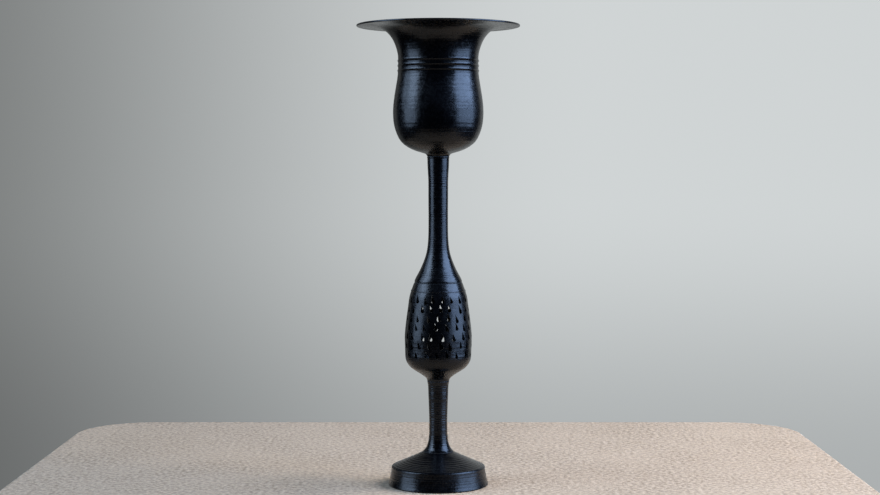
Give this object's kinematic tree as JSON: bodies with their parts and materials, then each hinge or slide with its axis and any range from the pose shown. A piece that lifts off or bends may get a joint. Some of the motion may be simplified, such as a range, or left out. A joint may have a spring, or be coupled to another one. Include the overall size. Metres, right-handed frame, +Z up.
{
  "type": "stemmed black clay pot",
  "caption": "Tall stemmed black clay pot: a tulip cup with a wide flat rim on a slender stem, a pierced hollow lantern below it and a flared hollow foot.",
  "frame": {"origin": "centre of the foot's standing ring, on the surface that the pot stands on", "axes": "+Z up along the turning axis, -Y the front; the pot is turned, so X and Y are alike apart from the places of the slots"},
  "size_m": [0.1414, 0.1414, 0.4],
  "materials": {
    "burnished_clay": "burnished satin",
    "slip_clay": "matte"
  },
  "bodies": {
    "root": {"foot": "burnished_clay", "foot_slip_joint": "slip_clay", "lower_stem": "burnished_clay", "lantern_slip_joint": "slip_clay", "lantern": "burnished_clay", "shoulder_slip_joint": "slip_clay", "upper_stem": "burnished_clay", "cup_slip_joint": "slip_clay", "cup": "burnished_clay"}
  },
  "joints": []
}
